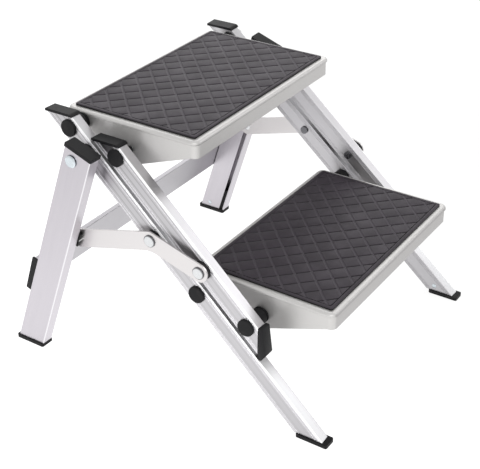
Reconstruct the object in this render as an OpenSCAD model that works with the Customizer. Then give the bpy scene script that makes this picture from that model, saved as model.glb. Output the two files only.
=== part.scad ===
// Folding caravan entry step with two treads, in aluminium with black plastic fittings.
// Millimetres. Front is -Y, +X is to the right of somebody facing +Y, +Z is up.
// The origin lies on the ground below the middle of the opened step.
// Points of the side view are [y, z] pairs. Side pieces are drawn for +X and mirrored.

/* [Overall] */
// Height of the upper mat above the ground
top_height = 400; // [385:1:415]
// Height from the lower mat up to the upper mat
tread_rise = 203; // [195:1:210]
// Slope of the main rails and link bars, in degrees above the ground
rail_slope = 42.3; // [41.5:0.1:43]
// Lean of the side frames, outward towards the ground, in degrees
side_lean = 2.2; // [1.8:0.1:2.4]

/* [Treads] */
// Width of a tread tray
tread_w = 366; // [356:1:370]
// Depth of a tread tray from front to rear
tread_d = 235; // [228:1:242]
// Thickness of the tray sheet
sheet_t = 1.5; // [1.2:0.1:2]
// Corner radius of the tray seen from above
tray_corner_r = 12; // [10:1:16]
// Radius of the tray's rounded top edge
tray_edge_r = 4; // [3:0.5:4]
// Height of the band under the top edge, above the step in the wall
band_h = 5; // [5:0.5:6]
// Distance the walls stand in below that band
band_step = 2; // [1.5:0.1:2.5]
// Depth of the front flange below the mat surface
flange_h = 30; // [26:1:34]
// Depth of the rear flange below the mat surface
rear_flange_h = 46; // [42:1:52]
// Greatest depth of the side skirts below the mat surface
skirt_h = 86; // [80:1:90]
// Distance of the deepest point of the skirts from the front edge
skirt_deep_at = 163; // [155:1:170]
// Length of the level edge at that deepest point
skirt_deep_run = 12; // [8:1:16]
// Space between a tread tray and the rails at the height of the upper mat
side_room = 12; // [10:0.5:14]

/* [Mats] */
// Width of the metal margin round a mat
mat_margin = 9.5; // [8:0.5:12]
// Thickness of a mat
mat_t = 3; // [2.5:0.1:4]
// Corner radius of a mat
mat_corner_r = 7; // [5:1:10]
// Distance between the channels of the diamond pattern
block_pitch = 25; // [18:1:30]
// Width of the channels between the blocks
channel_w = 3.4; // [2:0.2:4]
// Depth of the channels
channel_d = 1.1; // [0.6:0.1:1.5]
// Width of the plain border round the blocks
mat_border = 5.6; // [4:0.2:10]
// Width of the fine groove between the border and the blocks
border_line_w = 0.9; // [0.6:0.1:1.5]

/* [Rails] */
// Width of the rail profile, seen from the side
rail_w = 32; // [31:0.5:33]
// Thickness of the rail profile, seen from the front
rail_t = 18; // [16:0.5:20]
// Wall of the rail profile
rail_wall = 1.8; // [1.5:0.1:2.2]
// Radius of the long edges of the rail profile
rail_edge_r = 1.2; // [0.8:0.1:2]
// Number of fine grooves along each edge of a rail face
groove_n = 3; // [1:1:3]
// Distance between the fine grooves
groove_pitch = 2.3; // [2:0.1:2.6]
// Width of a fine groove
groove_w = 1; // [0.6:0.1:1.2]
// Depth of a fine groove
groove_d = 0.5; // [0.3:0.1:0.7]
// Height of the metal at the top of a main rail above the upper rear pivot
rail_top_over = 17; // [16:0.5:18]
// Height of the metal at the top of a link bar above its upper pivot
bar_top_over = 16.5; // [15.5:0.5:17.5]
// Distance the lower end of a link bar reaches ahead of its lower pivot
bar_end_ahead = 19; // [17:1:24]

/* [Legs] */
// Width of the leg profile, seen from the side
leg_w = 48; // [46:1:50]
// Thickness of the leg profile, seen from the front
leg_t = 20; // [18:0.5:22]
// Wall of the leg profile
leg_wall = 1.8; // [1.5:0.1:2.2]
// Slope of the rear legs, in degrees above the ground
leg_slope = 70.6; // [69:0.1:72]
// Space between the outer face of a main rail and the inner face of a leg
leg_gap = 16.5; // [16:0.1:18]
// Distance of the leg hinge from the rear edge of the leg
leg_hinge_back = 16.3; // [15:0.1:18]
// Length of leg above its hinge
leg_top_over = 17; // [16:0.5:20]
// Width of the guide slot in the inner face of a leg
slot_w = 7; // [6:0.5:8]
// Width of the lip between the slot and the front edge of the leg
slot_lip = 2.4; // [2:0.1:3]
// Height of the foot insert that shows in the slot
slot_insert_h = 45; // [30:1:60]

/* [Linkage] */
// Depth of the rear pivot of a tread below its mat surface
pivot_depth = 18; // [17:0.5:19]
// Distance of the rear pivot of a tread behind the front edge of the tray
pivot_back = 203; // [200:1:205]
// Distance between the rail pivot and the bar pivot of a tread
crank_len = 88; // [87:0.5:90]
// Fall of the line between those pivots towards the front, in degrees
crank_drop = 16.6; // [16:0.1:17.2]
// Distance of the leg hinge below the upper rear pivot, along the rail
hinge_along = 43.5; // [42:0.5:46]
// Distance of the stay pivot below the upper rear pivot, along the rail
stay_along = 200; // [195:1:204]
// Fall of the tail of a stay towards the rear, in degrees
tail_drop = 16; // [15.5:0.1:16.5]
// Distance of the end of that tail behind the front edge of the leg, across the leg
tail_in = 1.7; // [1:0.1:5]
// Width of a stay
stay_w = 30; // [28:1:32]
// Thickness of a stay
stay_t = 2.5; // [2:0.1:3]
// Space between the rail and the stay at the rail pivot
stay_gap = 8; // [7.5:0.1:8.5]
// Diameter of the black guide disc at the tail of a stay
guide_disc_d = 22; // [18:0.5:26]
// Radius of the smooth bend on the lower side of a stay
stay_bend_r = 45; // [30:1:60]

/* [Crossmember] */
// Height of the crossmember, along the legs
cross_w = 63; // [58:1:66]
// Thickness of the crossmember
cross_t = 8; // [7:0.5:10]
// Wall of the crossmember
cross_wall = 1.5; // [1.2:0.1:2]
// Distance of the middle of the crossmember below the leg hinge, along the leg
cross_along = 240.5; // [232:0.5:246]
// Distance the crossmember ends stand in from the outer faces of the legs
cross_inset = 4; // [3:0.5:5]
// Diameter of the bolts that hold the crossmember
cross_bolt_d = 6; // [5:0.5:7]
// Distance of those bolts from the ends of the crossmember
cross_bolt_in = 10; // [9:0.5:12]
// Distance between the two bolts at each end of the crossmember
cross_bolt_pitch = 36; // [30:1:40]

/* [Fasteners] */
// Diameter of all pivot bolts
bolt_d = 8; // [7:0.5:9]
// Running clearance round a pivot bolt, on the radius
bolt_clear = 0.05; // [0.02:0.01:0.08]
// Diameter of the black knobs over the tread pivots
knob_d = 26.5; // [25:0.5:28]
// Height of those knobs
knob_h = 4.2; // [3.8:0.1:4.4]
// Diameter of the bolt heads under the knobs
hidden_head_d = 13; // [12:0.5:15]
// Height of the bolt heads under the knobs
hidden_head_h = 2; // [1.6:0.1:2.2]
// Diameter of the black bushes between rails and treads
bush_d = 26; // [24:0.5:28]
// Diameter of the necks of those bushes, which stand against the skirts
bush_neck_d = 14; // [12:0.5:15]
// Width of the pivot nuts over their flats
nut_af = 13; // [12:0.5:14]
// Height of the pivot nuts
nut_h = 6.5; // [5:0.5:8]
// Diameter of the wide heads on the stays and legs
wide_head_d = 19; // [17:0.5:21]
// Height of those heads
wide_head_h = 2.4; // [2:0.1:2.6]
// Width of the chamfer round those heads
head_chamfer = 1.8; // [1:0.1:2.5]
// Diameter of the flat rivet heads on the inner faces of the rails
rivet_head_d = 13; // [11:0.5:15]
// Height of those flat heads
rivet_head_h = 1.6; // [1.2:0.1:2]
// Diameter of the black discs behind the stays
disc_d = 35; // [33:0.5:38]
// Diameter of the bush between a main rail and a leg
leg_bush_d = 24; // [20:0.5:26]
// Diameter of the small rivets that hold the feet
foot_rivet_d = 4; // [3:0.5:5]

/* [Caps and feet] */
// Height of the caps on rails and bars
cap_h = 4; // [3:0.5:5]
// Distance a cap stands out round its profile
cap_lip = 1.5; // [1:0.1:1.6]
// Radius of the round nose at the front of those caps
cap_nose_r = 6.5; // [5:0.5:8]
// Radius of the rear upper edge of those caps
cap_edge_r = 1; // [0.5:0.5:2]
// Height of the caps on the legs
leg_cap_h = 5.5; // [4:0.5:7]
// Thickness of the cap on the lower end of a link bar
end_cap_t = 4.5; // [3.5:0.5:6]
// Height of the soles under rails and legs
sole_h = 6; // [5:0.5:8]
// Distance a sole stands out round its profile
sole_lip = 2; // [1.5:0.1:2.5]
// Corner radius of a sole, seen from above
sole_corner_r = 3; // [2:0.5:4]
// Depth a cap plugs into its profile
plug_h = 4; // [3:0.5:4]
// Depth a foot plugs into its profile
foot_plug_h = 18; // [12:1:24]
// Thickness of the caps on the crossmember
cross_cap_t = 3; // [2:0.5:3]

/* [Fit] */
// Gap between faces that slide past each other
slide_gap = 0.3; // [0.2:0.05:0.4]
// Gap between pieces that are pressed or screwed together
seat_gap = 0.05; // [0.02:0.01:0.1]

/* [Hidden] */
$fn = 48;
reach = 1000;            // longer than anything in the model
eps = 0.01;              // a cut past a face
level_turn = 180;        // degrees from level, over the top, to level again
bend_steps = 4;          // faces on each half of a stay's bend
end_steps = 20;          // faces on each round end of a stay

function ahead(p, dist, fall) = p + dist * [-cos(fall), -sin(fall)];
function behind(p, dist, fall) = p + dist * [cos(fall), -sin(fall)];

// Distance of a point of the side view behind the leg's hinge line, across the leg
function across_leg(p) = (p - leg_hinge) * [sin(leg_slope), cos(leg_slope)];

// Width over the main rails at the height of the upper mat
top_width = tread_w + 2 * (side_room + rail_t);

// Side view, first with the upper rear pivot at y = 0, then moved so that the base is centred
pivot_z = top_height - pivot_depth;
half_rail_run = rail_w / (2 * sin(rail_slope));
front_tip_y = -pivot_z / tan(rail_slope) - half_rail_run - sole_lip;
hinge_z = pivot_z - hinge_along * sin(rail_slope);
rear_tip_y = -hinge_along * cos(rail_slope) + hinge_z / tan(leg_slope)
    + leg_hinge_back / sin(leg_slope) + sole_lip;
pivot_y = -(front_tip_y + rear_tip_y) / 2;

upper_rear = [pivot_y, pivot_z];
upper_front = ahead(upper_rear, crank_len, crank_drop);
lower_rear = ahead(upper_rear, tread_rise / sin(rail_slope), rail_slope);
lower_front = ahead(lower_rear, crank_len, crank_drop);
leg_hinge = ahead(upper_rear, hinge_along, rail_slope);
stay_rail = ahead(upper_rear, stay_along, rail_slope);
stay_bar = ahead(stay_rail, crank_len, crank_drop);
leg_front_v = leg_hinge_back - leg_w;        // front edge of a leg, across from its hinge
tail_len = (leg_front_v + tail_in - across_leg(stay_rail)) / sin(leg_slope - tail_drop);
stay_end = behind(stay_rail, tail_len, tail_drop);

rail_top_z = pivot_z + rail_top_over;
bar_top_z = upper_front[1] + bar_top_over;
bar_end_y = lower_front[0] - bar_end_ahead;
bore_d = bolt_d + 2 * bolt_clear;
tray_top_drop = mat_t;                       // the sheet lies one mat below the mat surface
skirt_x = tread_w / 2 - band_step;           // outer face of a side skirt
stay_x = face_x(stay_rail[1]) + stay_gap;    // inner face of a stay
leg_chamber_w = slot_w + 2;                  // the guide chamber behind the slot
chamber_v = leg_front_v + slot_lip - 1;      // front side of the guide chamber
cross_room = slide_gap + leg_t * sin(side_lean) * cos(leg_slope); // clears the leaning legs

// Outer face of a main rail at a height
function face_x(z) = top_width / 2 + (top_height - z) * tan(side_lean);

// Colours of the finishes
aluminium = "#d4d5d8";
satin = "#bcbcba";
zinc = "#c9d3d8";
black = "#262628";
rubber = "#4c4a50";

// Puts a piece of the side view, drawn with x = 0 on the rail's outer face, into the leaning frame
module side_frame(out = 0) {
    translate([top_width / 2 + out, 0, top_height])
        rotate([0, -side_lean, 0])
            translate([0, 0, -top_height]) children();
}

module both_sides() {
    children();
    mirror([1, 0, 0]) children();
}

// A cylinder along X through a point of the side view
module pin_x(p, d, x0, x1) {
    translate([x0, p[0], p[1]]) rotate([0, 90, 0]) cylinder(d = d, h = x1 - x0);
}

module pivot_bore(p) {
    pin_x(p, bore_d, tread_w / 4, reach);
}

// A flat shape standing in the side view, from x0 to x1
module plate_x(x0, x1) {
    translate([x0, 0, 0]) rotate([90, 0, 90]) linear_extrude(x1 - x0) children();
}

// A profile run along a slope through a point; +v of the profile is its rear side
module member(p, slope, down, up) {
    translate([0, p[0], p[1]])
        rotate([slope - 90, 0, 0])
            translate([0, 0, -down]) linear_extrude(down + up) children();
}

module level_slab(z0, z1) {
    translate([-reach, -reach, z0]) cube([2 * reach, 2 * reach, z1 - z0]);
}

module rounded_rect(w, h, r) {
    square([w - 2 * r, h], center = true);
    square([w, h - 2 * r], center = true);
    for (x = [-1, 1], y = [-1, 1])
        translate([x * (w / 2 - r), y * (h / 2 - r)]) circle(r);
}

module dome(d, h) {
    ball_r = (d * d / 4 + h * h) / (2 * h);
    rotate_extrude() intersection() {
        translate([0, h - ball_r]) circle(ball_r);
        square([d, h]);
    }
}

module wide_head() {
    rotate_extrude() polygon([
        [0, 0], [wide_head_d / 2, 0], [wide_head_d / 2, wide_head_h / 2],
        [wide_head_d / 2 - head_chamfer, wide_head_h], [0, wide_head_h],
    ]);
}

// Rail profile, outer face at u = 0
module rail_outline() {
    translate([-rail_t / 2, 0]) rounded_rect(rail_t, rail_w, rail_edge_r);
}

module rail_hollow(gap = 0) {
    translate([-rail_t / 2, 0])
        square([rail_t - 2 * (rail_wall + gap), rail_w - 2 * (rail_wall + gap)], center = true);
}

module rail_grooves() {
    for (u = [-rail_t, 0], side = [-1, 1], i = [0:groove_n - 1])
        translate([u, side * (rail_w / 2 - rail_edge_r - groove_w - i * groove_pitch)])
            square([2 * groove_d, groove_w], center = true);
}

module rail_profile() {
    difference() {
        rail_outline();
        rail_hollow();
        rail_grooves();
    }
}

module main_rail() {
    color(aluminium) difference() {
        intersection() {
            side_frame() intersection() {
                member(upper_rear, rail_slope, reach, reach / 4) rail_profile();
                level_slab(0, rail_top_z);
            }
            level_slab(sole_h, reach);
        }
        for (p = [upper_rear, lower_rear, stay_rail, leg_hinge]) pivot_bore(p);
        foot_rivet_bore(rail_foot_rivet_at(), -rail_t);
    }
}

module rail_left() { mirror([1, 0, 0]) main_rail(); }
module rail_right() { main_rail(); }

// Side of a cap: a low plate with a round nose at the front and a small radius at the rear
module cap_side(len) {
    intersection() {
        square([len, cap_h]);
        hull() {
            translate([cap_nose_r, cap_h - cap_nose_r]) circle(cap_nose_r);
            translate([len - cap_edge_r, cap_h - cap_edge_r]) circle(cap_edge_r);
            translate([cap_nose_r, -cap_h]) square([len - cap_nose_r, cap_h]);
        }
    }
}

// Cap on a level cut: a plate with rounded upper edges over the cut, and a plug below it
module top_cap(p, cut_z) {
    mid_y = p[0] + (cut_z - p[1]) / tan(rail_slope);
    len = 2 * half_rail_run + 2 * cap_lip;
    side_frame() {
        plate_x(-rail_t - cap_lip, cap_lip)
            translate([mid_y - len / 2, cut_z + seat_gap]) cap_side(len);
        intersection() {
            member(p, rail_slope, reach / 4, reach / 4) rail_hollow(seat_gap);
            level_slab(cut_z - plug_h, cut_z + cap_h / 2);
        }
    }
}

module rail_caps() {
    color(black) both_sides() top_cap(upper_rear, rail_top_z);
}

function rail_foot_rivet_at() = ahead(upper_rear, (pivot_z - sole_h - foot_plug_h / 2) / sin(rail_slope), rail_slope);
function leg_foot_rivet_at() = behind(leg_hinge, (hinge_z - sole_h - foot_plug_h / 2) / sin(leg_slope), leg_slope);

// Hole through one wall for a small rivet, where wall_x is the wall's face in the leaning frame
module foot_rivet_bore(p, wall_x) {
    side_frame(wall_x) pin_x(p, foot_rivet_d + 2 * seat_gap, -eps - rivet_head_h, foot_plug_h / 2);
}

module foot_rivet(p, wall_x, depth) {
    side_frame(wall_x) {
        pin_x(p, foot_rivet_d, -seat_gap, depth);
        translate([-seat_gap, p[0], p[1]]) rotate([0, -90, 0]) dome(2 * foot_rivet_d, foot_rivet_d / 4);
    }
}

module rail_foot() {
    mid_y = upper_rear[0] - pivot_z / tan(rail_slope);
    len = 2 * half_rail_run + 2 * sole_lip;
    wide = rail_t + 2 * sole_lip;
    difference() {
        union() {
            translate([face_x(sole_h / 2) - rail_t / 2, mid_y, 0])
                sole(wide, len);
            intersection() {
                side_frame() member(upper_rear, rail_slope, reach, 0) rail_hollow(seat_gap);
                level_slab(sole_h / 2, sole_h + foot_plug_h);
            }
        }
        foot_rivet_bore(rail_foot_rivet_at(), -rail_t);
    }
}

// Sole plate with rounded corners
module sole(wide, len) {
    linear_extrude(sole_h - seat_gap) rounded_rect(wide, len, sole_corner_r);
}

module rail_feet() {
    color(black) both_sides() rail_foot();
}

module rail_foot_rivets() {
    color(zinc) both_sides() foot_rivet(rail_foot_rivet_at(), -rail_t, foot_plug_h / 2 - 1);
}

// Bolt of a tread pivot: head outside the rail, shank through rail, bush and skirt
module tread_bolt(p) {
    out = face_x(p[1]);
    pin_x(p, bolt_d, skirt_x - sheet_t - slide_gap - nut_h - 2, out + hidden_head_h / 2);
    side_frame() pin_x(p, hidden_head_d, 0.3, 0.3 + hidden_head_h);
}

module tread_nut(p) {
    inner = skirt_x - sheet_t - slide_gap;
    difference() {
        union() {
            pin_x(p, nut_af * 1.45, inner - 1.5, inner);
            translate([inner - nut_h, p[0], p[1]]) rotate([0, 90, 0])
                cylinder(d = nut_af / cos(30), h = nut_h, $fn = 6);
        }
        pivot_bore(p);
    }
}

// Black knob over a bolt head, seated on the outer face of the rail
module knob(p) {
    edge_r = 1.4;
    side_frame() translate([seat_gap, p[0], p[1]]) rotate([0, 90, 0]) rotate_extrude() difference() {
        union() {
            square([knob_d / 2, knob_h - edge_r]);
            square([knob_d / 2 - edge_r, knob_h]);
            translate([knob_d / 2 - edge_r, knob_h - edge_r]) circle(edge_r);
        }
        translate([-reach, -reach]) square([reach, 2 * reach]);
        square([hidden_head_d / 2 + 0.3, hidden_head_h + 0.6]);
    }
}

// Bush between the skirt and the leaning inner face of the rail
module tread_bush(p) {
    difference() {
        union() {
            pin_x(p, bush_d, tread_w / 2 + slide_gap, face_x(p[1]));
            pin_x(p, bush_neck_d, skirt_x + slide_gap, tread_w / 2 + 1);
        }
        side_frame() translate([-rail_t - seat_gap, -reach, -reach]) cube(2 * reach);
        pivot_bore(p);
    }
}

module tread_pivot_bolts() {
    color(zinc) both_sides() for (p = [upper_rear, lower_rear]) tread_bolt(p);
}
module tread_pivot_nuts() {
    color(zinc) both_sides() for (p = [upper_rear, lower_rear]) tread_nut(p);
}
module tread_pivot_knobs() {
    color(black) both_sides() for (p = [upper_rear, lower_rear]) knob(p);
}
module tread_pivot_bushes() {
    color(black) both_sides() for (p = [upper_rear, lower_rear]) tread_bush(p);
}

// Bolt with a flat head inside the rail frame and a wide chamfered head at out_x
module wide_bolt(p, out_x) {
    inner = face_x(p[1]) - rail_t - 1;
    pin_x(p, bolt_d, inner, out_x + eps);
    pin_x(p, rivet_head_d, inner - rivet_head_h, inner + eps);
    translate([out_x, p[0], p[1]]) rotate([0, 90, 0]) wide_head();
}

module leg_pivot_bolts() {
    color(zinc) both_sides() wide_bolt(leg_hinge, face_x(leg_hinge[1]) + leg_gap + leg_t + 1);
}

// Its outer face stands upright, clear of the leaning face of the leg as that turns
module leg_pivot_bushes() {
    turn_room = leg_bush_d / 2 * tan(side_lean) + slide_gap;
    color(black) both_sides() difference() {
        pin_x(leg_hinge, leg_bush_d, 0, face_x(leg_hinge[1]) + leg_gap - turn_room);
        side_frame() translate([seat_gap - 3 * reach, -reach, -reach]) cube([3 * reach, 2 * reach, 2 * reach]);
        pivot_bore(leg_hinge);
    }
}

// Black disc between the leaning outer face of a rail or bar and the upright stay
module stay_disc(p) {
    difference() {
        pin_x(p, disc_d, 0, stay_x - slide_gap);
        side_frame() translate([seat_gap - 3 * reach, -reach, -reach]) cube([3 * reach, 2 * reach, 2 * reach]);
        pivot_bore(p);
    }
}

module stay_pivot_bolts() {
    color(aluminium) both_sides() wide_bolt(stay_rail, stay_x + stay_t + slide_gap);
}
module stay_pivot_discs() {
    color(black) both_sides() stay_disc(stay_rail);
}

module link_bar() {
    color(aluminium) difference() {
        intersection() {
            side_frame() intersection() {
                member(upper_front, rail_slope, reach, reach / 4) rail_profile();
                level_slab(0, bar_top_z);
            }
            translate([-reach, bar_end_y, -reach]) cube(2 * reach);
        }
        for (p = [upper_front, lower_front, stay_bar]) pivot_bore(p);
    }
}

module link_bar_left() { mirror([1, 0, 0]) link_bar(); }
module link_bar_right() { link_bar(); }

module link_bar_caps() {
    color(black) both_sides() top_cap(upper_front, bar_top_z);
}

// Cap on the upright cut at the lower end of a link bar
module bar_end_cap() {
    mid_z = lower_front[1] - bar_end_ahead * tan(rail_slope);
    tall = rail_w / cos(rail_slope) + 2 * cap_lip;
    side_frame() {
        plate_x(-rail_t - cap_lip, cap_lip)
            translate([bar_end_y - end_cap_t / 2 - seat_gap, mid_z])
                rounded_rect(end_cap_t, tall, end_cap_t / 3);
        intersection() {
            member(lower_front, rail_slope, reach / 4, reach / 4) rail_hollow(seat_gap);
            translate([-reach, bar_end_y - end_cap_t / 2, -reach])
                cube([2 * reach, end_cap_t / 2 + plug_h, 2 * reach]);
        }
    }
}

module link_bar_end_caps() {
    color(black) both_sides() bar_end_cap();
}

module link_bolts() {
    color(zinc) both_sides() for (p = [upper_front, lower_front]) tread_bolt(p);
}
module link_nuts() {
    color(zinc) both_sides() for (p = [upper_front, lower_front]) tread_nut(p);
}
module link_knobs() {
    color(black) both_sides() for (p = [upper_front, lower_front]) knob(p);
}
module link_bushes() {
    color(black) both_sides() for (p = [upper_front, lower_front]) tread_bush(p);
}
module stay_link_bolts() {
    color(aluminium) both_sides() wide_bolt(stay_bar, stay_x + stay_t + slide_gap);
}
module stay_link_discs() {
    color(black) both_sides() stay_disc(stay_bar);
}

// Wall section of a tray, r outward from the corner centre, drawn in by inset for its inner side
module tray_section(inset) {
    r = tray_corner_r - inset;
    edge = tray_edge_r - inset;
    low = skirt_h + tray_edge_r;
    translate([0, -edge - inset]) {
        square([r - edge, edge]);
        intersection() {
            translate([r - edge, 0]) circle(edge);
            square([r, edge]);
        }
    }
    translate([0, -band_h]) square([r, band_h - edge - inset]);
    polygon([[0, -band_h], [r, -band_h], [r - band_step, -band_h - band_step], [0, -band_h - band_step]]);
    translate([0, -low]) square([r - band_step, low - band_h - band_step]);
}

// Solid of the tray's outer or inner form, swept round a rounded rectangle
module tray_form(inset) {
    half_w = tread_w / 2 - tray_corner_r;
    half_d = tread_d / 2 - tray_corner_r;
    low = skirt_h + tray_edge_r;
    for (i = [-1, 1]) {
        translate([i * half_w, half_d, 0]) rotate([90, 0, 0])
            linear_extrude(2 * half_d) mirror([i < 0 ? 1 : 0, 0]) tray_section(inset);
        translate([-half_w, i * half_d, 0]) rotate([90, 0, 90])
            linear_extrude(2 * half_w) mirror([i < 0 ? 1 : 0, 0]) tray_section(inset);
        for (j = [-1, 1])
            translate([i * half_w, j * half_d, 0]) rotate_extrude() tray_section(inset);
    }
    translate([-half_w, -half_d, -low]) cube([2 * half_w, 2 * half_d, low - inset]);
}

// Side view of what a tray keeps: d is measured back from its front edge, depth from the mat surface
module skirt_outline() {
    f = tread_d / 2;
    polygon([
        [-f - 1, 1], [-f - 1, -flange_h], [-f + tray_corner_r, -flange_h],
        [-f + skirt_deep_at, -skirt_h], [-f + skirt_deep_at + skirt_deep_run, -skirt_h],
        [f, -rear_flange_h], [f + 1, -rear_flange_h], [f + 1, 1],
    ]);
}

module tray(rear_pivot, front_pivot) {
    mat_z = rear_pivot[1] + pivot_depth;
    mid_y = rear_pivot[0] - pivot_back + tread_d / 2;
    color(satin) difference() {
        translate([0, mid_y, mat_z]) intersection() {
            translate([0, 0, -tray_top_drop]) difference() {
                tray_form(0);
                translate([0, 0, -eps]) tray_form(sheet_t);
            }
            plate_x(-tread_w, tread_w) skirt_outline();
        }
        both_sides() {
            pivot_bore(rear_pivot);
            pivot_bore(front_pivot);
        }
    }
}

// The square blocks between the channels, inside the fine groove of the border
module block_field(w, d, count) {
    inset = mat_border + border_line_w;
    intersection() {
        rounded_rect(w - 2 * inset, d - 2 * inset, mat_corner_r / 2);
        rotate(45) for (i = [-count:count], j = [-count:count])
            if (abs(i + j + 1) * block_pitch / sqrt(2) < d / 2 + block_pitch
                    && abs(i - j) * block_pitch / sqrt(2) < w / 2 + block_pitch)
                translate([i * block_pitch, j * block_pitch] + [channel_w, channel_w] / 2)
                    square(block_pitch - channel_w);
    }
}

module mat(rear_pivot) {
    mat_z = rear_pivot[1] + pivot_depth;
    mid_y = rear_pivot[0] - pivot_back + tread_d / 2;
    w = tread_w - 2 * mat_margin;
    d = tread_d - 2 * mat_margin;
    count = ceil((w + d) / (2 * block_pitch));
    color(rubber) translate([0, mid_y, mat_z - mat_t + seat_gap]) {
        linear_extrude(mat_t - channel_d - seat_gap) rounded_rect(w, d, mat_corner_r);
        translate([0, 0, mat_t - channel_d - seat_gap]) linear_extrude(channel_d) difference() {
            rounded_rect(w, d, mat_corner_r);
            difference() {
                rounded_rect(w - 2 * mat_border, d - 2 * mat_border, mat_corner_r / 2);
                block_field(w, d, count);
            }
        }
    }
}

module upper_tread() { tray(upper_rear, upper_front); }
module lower_tread() { tray(lower_rear, lower_front); }
module upper_mat() { mat(upper_rear); }
module lower_mat() { mat(lower_rear); }

// Outline of a stay: two arms that meet at the rail pivot in a smooth bend, with round ends
module stay_outline() {
    half_turn = (crank_drop + tail_drop) / 2;
    lean = (crank_drop - tail_drop) / 2;
    edge = stay_w / 2;
    centre = (edge + stay_bend_r) / cos(half_turn);
    turns = [for (i = [-bend_steps:bend_steps]) half_turn * i / bend_steps];
    crown = [for (turn = turns) edge * [sin(turn), cos(turn)]];
    hollow = [for (turn = turns) [-stay_bend_r * sin(turn), stay_bend_r * cos(turn) - centre]];
    along = [cos(half_turn), -sin(half_turn)];
    over = [sin(half_turn), cos(half_turn)];
    function round_end(reach_out) = [for (i = [0:end_steps]) let (turn = 90 - 180 * i / end_steps)
        reach_out * along + edge * (cos(turn) * along + sin(turn) * over)];
    rear_end = round_end(tail_len);
    front_end = [for (i = [end_steps:-1:0]) [-round_end(crank_len)[i][0], round_end(crank_len)[i][1]]];
    translate(stay_rail) rotate(lean) polygon(concat(crown, rear_end, hollow, front_end));
}

module stay() {
    color(aluminium) difference() {
        plate_x(stay_x, stay_x + stay_t) stay_outline();
        for (p = [stay_rail, stay_bar, stay_end]) pivot_bore(p);
    }
}

module stay_left() { mirror([1, 0, 0]) stay(); }
module stay_right() { stay(); }

// Disc at the tail of a stay, which runs along the guide slot of the leg
module stay_guide_discs() {
    color(black) both_sides() difference() {
        pin_x(stay_end, guide_disc_d, stay_x + stay_t + seat_gap, reach);
        side_frame() translate([leg_gap - 3 * slide_gap, -reach, -reach]) cube([3 * reach, 2 * reach, 2 * reach]);
        pivot_bore(stay_end);
    }
}

module stay_guide_rivets() {
    leg_face = face_x(stay_end[1]) + leg_gap - 5 * slide_gap;
    color(aluminium) both_sides() {
        pin_x(stay_end, bolt_d, stay_x - seat_gap, leg_face);
        translate([stay_x - seat_gap, stay_end[0], stay_end[1]]) rotate([0, -90, 0]) dome(rivet_head_d, rivet_head_h);
    }
}

// Leg profile, inner face at u = 0, v measured back from the hinge
module leg_outline() {
    translate([leg_t / 2, leg_hinge_back - leg_w / 2]) rounded_rect(leg_t, leg_w, rail_edge_r);
}

module leg_chamber(gap = 0) {
    translate([leg_wall + gap, chamber_v + 1 + gap - leg_wall / 2])
        square([leg_t - 2 * (leg_wall + gap), leg_chamber_w - 2 * gap]);
}

module leg_hollow(gap = 0) {
    start = chamber_v + 1 - leg_wall / 2 + leg_chamber_w + leg_wall;
    translate([leg_wall + gap, start + gap])
        square([leg_t - 2 * (leg_wall + gap), leg_hinge_back - leg_wall - start - 2 * gap]);
}

module leg_slot(gap = 0) {
    translate([-1, leg_front_v + slot_lip + gap]) square([leg_wall + 2, slot_w - 2 * gap]);
}

module leg_member(down, up) {
    side_frame(leg_gap) member(leg_hinge, level_turn - leg_slope, down, up) children();
}

module cross_bolt_bores(d) {
    for (i = [-1, 1]) at_crossmember()
        translate([cross_half() - cross_bolt_in, 0, i * cross_bolt_pitch / 2])
            rotate([90, 0, 0]) cylinder(d = d, h = 4 * cross_t, center = true);
}

module leg() {
    color(aluminium) difference() {
        intersection() {
            leg_member(reach, leg_top_over) difference() {
                leg_outline();
                leg_chamber();
                leg_hollow();
                leg_slot();
            }
            level_slab(sole_h, reach);
        }
        pivot_bore(leg_hinge);
        cross_bolt_bores(cross_bolt_d + 2 * seat_gap);
        foot_rivet_bore(leg_foot_rivet_at(), leg_gap);
    }
}

module leg_left() { mirror([1, 0, 0]) leg(); }
module leg_right() { leg(); }

module leg_cap() {
    mid_v = leg_hinge_back - leg_w / 2;
    leg_member(-leg_top_over - seat_gap, leg_top_over + leg_cap_h)
        translate([leg_t / 2, mid_v]) rounded_rect(leg_t + 2 * cap_lip, leg_w + 2 * cap_lip, 2);
    leg_member(-leg_top_over + plug_h, leg_top_over + leg_cap_h / 2) {
        leg_hollow(seat_gap);
        leg_chamber(seat_gap);
    }
}

module leg_caps() {
    color(black) both_sides() leg_cap();
}

module leg_foot() {
    mid_v = leg_hinge_back - leg_w / 2;
    mid_y = leg_hinge[0] + hinge_z / tan(leg_slope) + mid_v / sin(leg_slope);
    len = leg_w / sin(leg_slope) + 2 * sole_lip;
    difference() {
        union() {
            translate([face_x(sole_h / 2) + leg_gap + leg_t / 2, mid_y, 0])
                sole(leg_t + 2 * sole_lip, len);
            intersection() {
                leg_member(reach, 0) leg_hollow(seat_gap);
                level_slab(sole_h / 2, sole_h + foot_plug_h);
            }
            intersection() {
                leg_member(reach, 0) leg_chamber(seat_gap);
                level_slab(sole_h / 2, sole_h + slot_insert_h);
            }
        }
        foot_rivet_bore(leg_foot_rivet_at(), leg_gap);
    }
}

module leg_feet() {
    color(black) both_sides() leg_foot();
}

module leg_foot_rivets() {
    color(zinc) both_sides() foot_rivet(leg_foot_rivet_at(), leg_gap, foot_plug_h / 2 - 1);
}

// Frame of the crossmember: y points away from the rear faces of the legs, z up along them
module at_crossmember() {
    translate([0, leg_hinge[0], leg_hinge[1]])
        rotate([90 - leg_slope, 0, 0])
            translate([0, leg_hinge_back + cross_room, -cross_along]) children();
}

function cross_half() = face_x(hinge_z - cross_along * sin(leg_slope)) + leg_gap + leg_t - cross_inset;

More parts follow.
